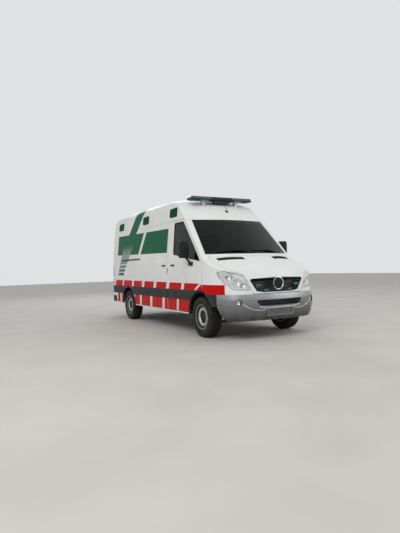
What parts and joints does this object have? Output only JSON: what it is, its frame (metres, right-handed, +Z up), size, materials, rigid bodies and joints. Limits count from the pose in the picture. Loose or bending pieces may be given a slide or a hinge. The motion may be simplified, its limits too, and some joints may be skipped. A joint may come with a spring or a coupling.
{
  "type": "ambulance",
  "caption": "High-roof panel-van ambulance with hinged cab, rear and bonnet doors, steered front wheels, roof light bar and raised side lamps.",
  "frame": {"origin": "on the ground under the middle of the overall length and width, wheels standing", "axes": "+Z up, the nose points to -Y, +X is the vehicle's left side"},
  "size_m": [2.41, 5.9051, 2.671],
  "materials": {
    "white_paint": "gloss",
    "silver_bumper": "satin metallic",
    "dark_plastic": "matte",
    "tinted_glass": "tinted",
    "deck_vinyl": "grained",
    "clear_lamp": "clear",
    "lamp_reflector": "aluminised",
    "red_lamp": "gloss",
    "green_lamp": "gloss",
    "black_steel": "satin",
    "cast_iron": "rough",
    "wheel_paint": "satin",
    "tyre": "matte",
    "cab_plastic": "matte",
    "seat_cloth": "woven",
    "bare_aluminium": "dull",
    "exhaust_steel": "dull"
  },
  "bodies": {
    "body": {"antenna": "dark_plastic", "bulkhead": "white_paint", "chassis_frame": "black_steel", "cowl": "dark_plastic", "dashboard": "cab_plastic", "door_rail": "dark_plastic", "exhaust": "exhaust_steel", "floor_pan": "white_paint", "front_bumper": "silver_bumper", "front_lamps": "clear_lamp", "front_subframe": "black_steel", "front_wings": "white_paint", "fuel_tank": "dark_plastic", "intake_grille": "dark_plastic", "lamp_housings": "lamp_reflector", "leaf_springs": "black_steel", "light_bar": "dark_plastic", "light_bar_lenses": "green_lamp", "load_deck": "deck_vinyl", "powertrain": "cast_iron", "radiator": "bare_aluminium", "rear_axle": "cast_iron", "rear_bumper": "dark_plastic", "roof_panel": "white_paint", "seats": "seat_cloth", "side_lamps": "green_lamp", "side_panel_left": "white_paint", "side_panel_right": "white_paint", "side_strips": "dark_plastic", "sliding_door": "white_paint", "tail_lamps": "red_lamp", "wheel_housings": "dark_plastic", "windscreen": "tinted_glass"},
    "bonnet": {"bonnet": "white_paint", "bonnet_inlets": "dark_plastic", "grille": "dark_plastic", "grille_lamps": "green_lamp"},
    "steering_wheel": {"steering_wheel": "cab_plastic"},
    "door_left": {"door_left": "white_paint", "door_glass_left": "tinted_glass", "door_trim_left": "dark_plastic", "mirror_left": "dark_plastic"},
    "rear_door_left": {"rear_door_left": "white_paint", "rear_glass_left": "tinted_glass"},
    "knuckle_left": {"knuckle_left": "cast_iron"},
    "wheel_front_left": {"tyre_front_left": "tyre", "rim_front_left": "wheel_paint"},
    "wheel_rear_left": {"tyre_rear_left": "tyre", "rim_rear_left": "wheel_paint"},
    "door_right": {"door_right": "white_paint", "door_glass_right": "tinted_glass", "door_trim_right": "dark_plastic", "mirror_right": "dark_plastic"},
    "rear_door_right": {"rear_door_right": "white_paint", "rear_glass_right": "tinted_glass"},
    "knuckle_right": {"knuckle_right": "cast_iron"},
    "wheel_front_right": {"tyre_front_right": "tyre", "rim_front_right": "wheel_paint"},
    "wheel_rear_right": {"tyre_rear_right": "tyre", "rim_rear_right": "wheel_paint"}
  },
  "joints": [
    {"name": "bonnet_hinge", "type": "hinge", "parent": "body", "child": "bonnet", "pos_m": [0, -2.079, 1.394], "axis": [-1, 0, 0], "range_deg": [0, 50]},
    {"name": "door_left_hinge", "type": "hinge", "parent": "body", "child": "door_left", "pos_m": [0.978, -2.01, 1], "axis": [0, 0, -1], "range_deg": [0, 70]},
    {"name": "door_right_hinge", "type": "hinge", "parent": "body", "child": "door_right", "pos_m": [-0.978, -2.01, 1], "axis": [0, 0, 1], "range_deg": [0, 70]},
    {"name": "rear_door_left_hinge", "type": "hinge", "parent": "body", "child": "rear_door_left", "pos_m": [0.885, 2.942, 1], "axis": [0, 0, -1], "range_deg": [0, 90]},
    {"name": "rear_door_right_hinge", "type": "hinge", "parent": "body", "child": "rear_door_right", "pos_m": [-0.885, 2.942, 1], "axis": [0, 0, 1], "range_deg": [0, 90]},
    {"name": "steer_left", "type": "hinge", "parent": "body", "child": "knuckle_left", "pos_m": [0.768, -1.951, 0.356], "axis": [0, 0, 1], "range_deg": [-35, 35]},
    {"name": "steer_right", "type": "hinge", "parent": "body", "child": "knuckle_right", "pos_m": [-0.768, -1.951, 0.356], "axis": [0, 0, 1], "range_deg": [-35, 35]},
    {"name": "spin_front_left", "type": "hinge", "parent": "knuckle_left", "child": "wheel_front_left", "pos_m": [0.855, -1.951, 0.356], "axis": [1, 0, 0], "continuous": true},
    {"name": "spin_front_right", "type": "hinge", "parent": "knuckle_right", "child": "wheel_front_right", "pos_m": [-0.855, -1.951, 0.356], "axis": [1, 0, 0], "continuous": true},
    {"name": "spin_rear_left", "type": "hinge", "parent": "body", "child": "wheel_rear_left", "pos_m": [0.855, 1.714, 0.356], "axis": [1, 0, 0], "continuous": true},
    {"name": "spin_rear_right", "type": "hinge", "parent": "body", "child": "wheel_rear_right", "pos_m": [-0.855, 1.714, 0.356], "axis": [1, 0, 0], "continuous": true},
    {"name": "steering_wheel_turn", "type": "hinge", "parent": "body", "child": "steering_wheel", "pos_m": [0.45, -1.515, 1.29], "axis": [0, 0.6, 0.8], "range_deg": [-525, 525]}
  ],
  "couplings": [
    {"joint": "steer_right", "follows": "steer_left", "ratio": 1},
    {"joint": "steering_wheel_turn", "follows": "steer_left", "ratio": 15}
  ]
}
